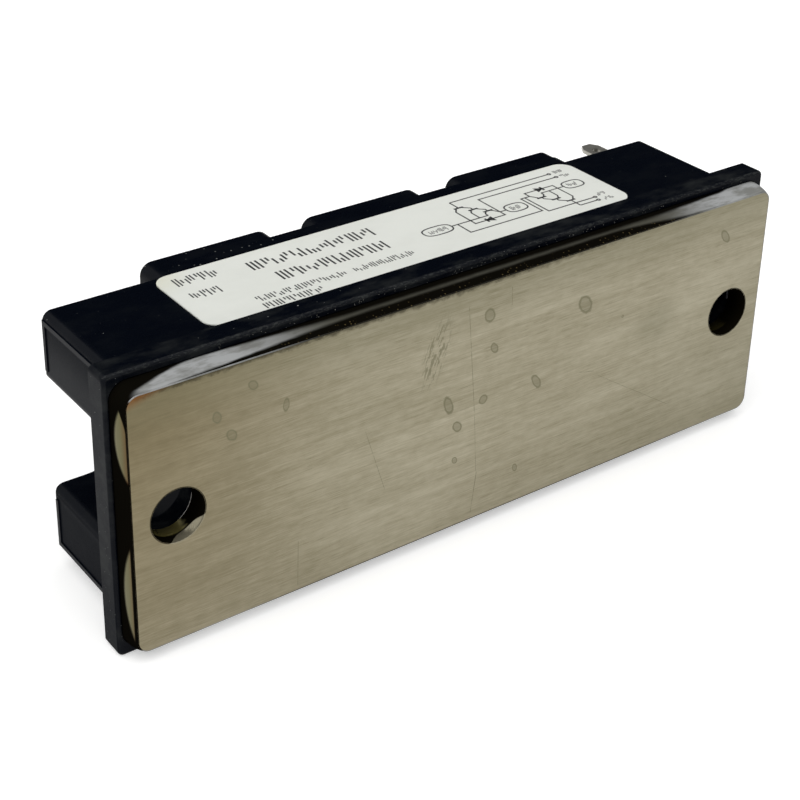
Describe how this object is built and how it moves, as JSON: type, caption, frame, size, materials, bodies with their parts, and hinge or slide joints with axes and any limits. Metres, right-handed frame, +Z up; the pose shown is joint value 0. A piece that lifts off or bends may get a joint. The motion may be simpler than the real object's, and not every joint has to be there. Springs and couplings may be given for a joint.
{
  "type": "darlington transistor module",
  "caption": "Potted power transistor module: plated base plate with mounting holes, black moulded case with end ears, raised screw terminals, flat control tabs and a side label.",
  "frame": {"origin": "centre of the base plate's heat-sink face, midway between the two mounting holes", "axes": "+X along the length towards the control tabs, +Y from the heat-sink face to the terminals, +Z up to the labelled long side; the module lies on its other long side"},
  "size_m": [0.093, 0.0285, 0.0344],
  "materials": {
    "nickel_plate": "nickel plating on copper, fine lengthwise grain, faint round water spots",
    "case_moulding": "black moulded thermoplastic, slightly glossy, dusty",
    "cover_moulding": "black moulded thermoplastic, slightly glossy",
    "label_film": "white printed film with a satin surface",
    "tinned_copper": "tin-plated copper strip",
    "zinc_steel": "zinc-plated steel",
    "tinned_brass": "tin-plated brass sheet",
    "copper": "bare copper",
    "alumina": "white fired alumina",
    "silicon": "dark metallised silicon",
    "bond_wire": "drawn aluminium wire",
    "sealant": "dark cured adhesive",
    "gel": "soft translucent silicone gel"
  },
  "bodies": {
    "root": {"heat_sink_plate": "nickel_plate", "case": "case_moulding", "terminal_cover": "cover_moulding", "label": "label_film", "terminal_common": "tinned_copper", "terminal_emitter": "tinned_copper", "terminal_collector": "tinned_copper", "nut_common": "zinc_steel", "nut_emitter": "zinc_steel", "nut_collector": "zinc_steel", "tab_base_1": "tinned_brass", "tab_emitter_1": "tinned_brass", "tab_base_2": "tinned_brass", "tab_emitter_2": "tinned_brass", "lead_base_1": "copper", "lead_emitter_1": "copper", "lead_base_2": "copper", "lead_emitter_2": "copper", "ceramic_left": "alumina", "ceramic_mid": "alumina", "ceramic_right": "alumina", "collector_pad_1": "copper", "collector_pad_2": "copper", "emitter_pad_1": "copper", "emitter_pad_2": "copper", "base_pad_1": "copper", "base_pad_2": "copper", "transistor_chip_1": "silicon", "transistor_chip_2": "silicon", "diode_chip_1": "silicon", "diode_chip_2": "silicon", "bond_wires_1": "bond_wire", "bond_wires_2": "bond_wire", "link_strap": "copper", "seal_bead": "sealant", "silicone_gel": "gel"}
  },
  "joints": []
}
